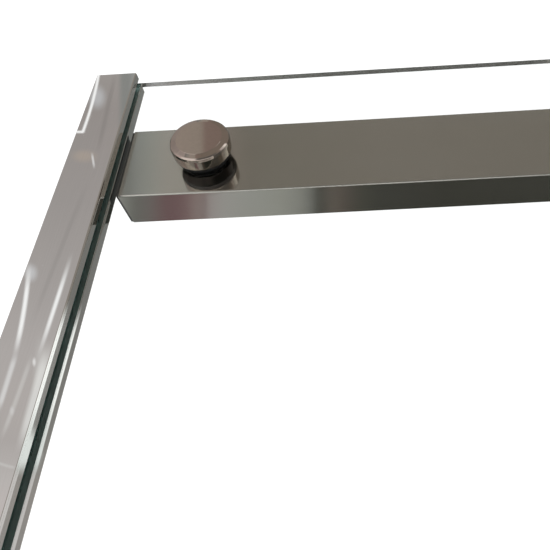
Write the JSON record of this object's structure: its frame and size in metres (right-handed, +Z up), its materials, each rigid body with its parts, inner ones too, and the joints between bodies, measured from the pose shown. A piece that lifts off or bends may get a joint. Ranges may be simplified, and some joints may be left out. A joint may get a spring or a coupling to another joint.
{
  "type": "sliding shower door",
  "caption": "Alcove shower screen: fixed glass pane in a slotted wall channel, header rail clamped to it by through-glass buttons, and a glass door rolling along the rail.",
  "frame": {"origin": "centre of the wall track's back face, at half the height", "axes": "+X along the rail from the left wall to the right wall, +Y through the glass away from the button side, +Z up"},
  "size_m": [1.5, 0.1241, 2.0012],
  "materials": {
    "chrome": "polished bright",
    "satin_nickel": "satin nickel plate",
    "polished_nickel": "polished dark nickel plate",
    "steel": "machined stainless steel",
    "black_plastic": "moulded black plastic",
    "black_rubber": "soft black rubber",
    "pale_nylon": "moulded pale nylon",
    "glass": "clear toughened glass with polished edges",
    "clear_vinyl": "translucent extruded vinyl"
  },
  "bodies": {
    "frame": {"wall_channel": "chrome", "sill": "chrome", "bottom_channel": "chrome", "strike_jamb": "chrome", "header_rail": "satin_nickel", "rail_wall_socket": "satin_nickel", "rail_stop_left": "satin_nickel", "rail_stop_right": "satin_nickel", "button_cap_left": "polished_nickel", "button_cap_right": "polished_nickel", "wall_track": "steel", "wall_screw_top": "steel", "wall_screw_low": "steel", "button_stud_left": "steel", "button_stud_right": "steel", "socket_grub_screw": "steel", "rail_end_plug": "black_plastic", "glazing_seal": "black_rubber", "button_gasket_left": "black_rubber", "button_gasket_right": "black_rubber", "button_pad_left": "black_rubber", "button_pad_right": "black_rubber", "stop_bumper_left": "black_rubber", "stop_bumper_right": "black_rubber", "strike_strip": "black_rubber", "setting_block_left": "black_rubber", "setting_block_right": "black_rubber", "side_block_top": "pale_nylon", "floor_guide": "pale_nylon", "fixed_pane": "glass", "gap_fin_seal": "clear_vinyl"},
    "door": {"door_pane": "glass", "roller_axle_left": "steel", "roller_axle_right": "steel", "roller_spacer_left": "pale_nylon", "roller_spacer_right": "pale_nylon", "roller_gasket_left": "black_rubber", "roller_gasket_right": "black_rubber", "roller_cap_left": "polished_nickel", "roller_cap_right": "polished_nickel", "guard_pin_left": "steel", "guard_pin_right": "steel", "guard_cap_left": "polished_nickel", "guard_cap_right": "polished_nickel", "door_handle": "polished_nickel", "handle_cap_low": "polished_nickel", "handle_cap_up": "polished_nickel", "door_bulb_seal": "clear_vinyl"},
    "wheel_left": {"roller_tyre_left": "pale_nylon", "roller_wheel_left": "steel"},
    "wheel_right": {"roller_tyre_right": "pale_nylon", "roller_wheel_right": "steel"},
    "guard_left": {"guard_wheel_left": "pale_nylon"},
    "guard_right": {"guard_wheel_right": "pale_nylon"}
  },
  "joints": [
    {"name": "door_slide", "type": "slide", "parent": "frame", "child": "door", "axis": [-1, 0, 0], "range_m": [0, 0.5]},
    {"name": "wheel_left_spin", "type": "hinge", "parent": "door", "child": "wheel_left", "pos_m": [0.86, 0.022, 0.97515], "axis": [0, 1, 0], "continuous": true},
    {"name": "wheel_right_spin", "type": "hinge", "parent": "door", "child": "wheel_right", "pos_m": [1.368, 0.022, 0.97515], "axis": [0, 1, 0], "continuous": true},
    {"name": "guard_left_spin", "type": "hinge", "parent": "door", "child": "guard_left", "pos_m": [0.86, 0.022, 0.8878], "axis": [0, 1, 0], "continuous": true},
    {"name": "guard_right_spin", "type": "hinge", "parent": "door", "child": "guard_right", "pos_m": [1.368, 0.022, 0.8878], "axis": [0, 1, 0], "continuous": true}
  ],
  "couplings": [
    {"joint": "wheel_left_spin", "follows": "door_slide", "rad_per_m": -45.455},
    {"joint": "wheel_right_spin", "follows": "door_slide", "rad_per_m": -45.455}
  ]
}
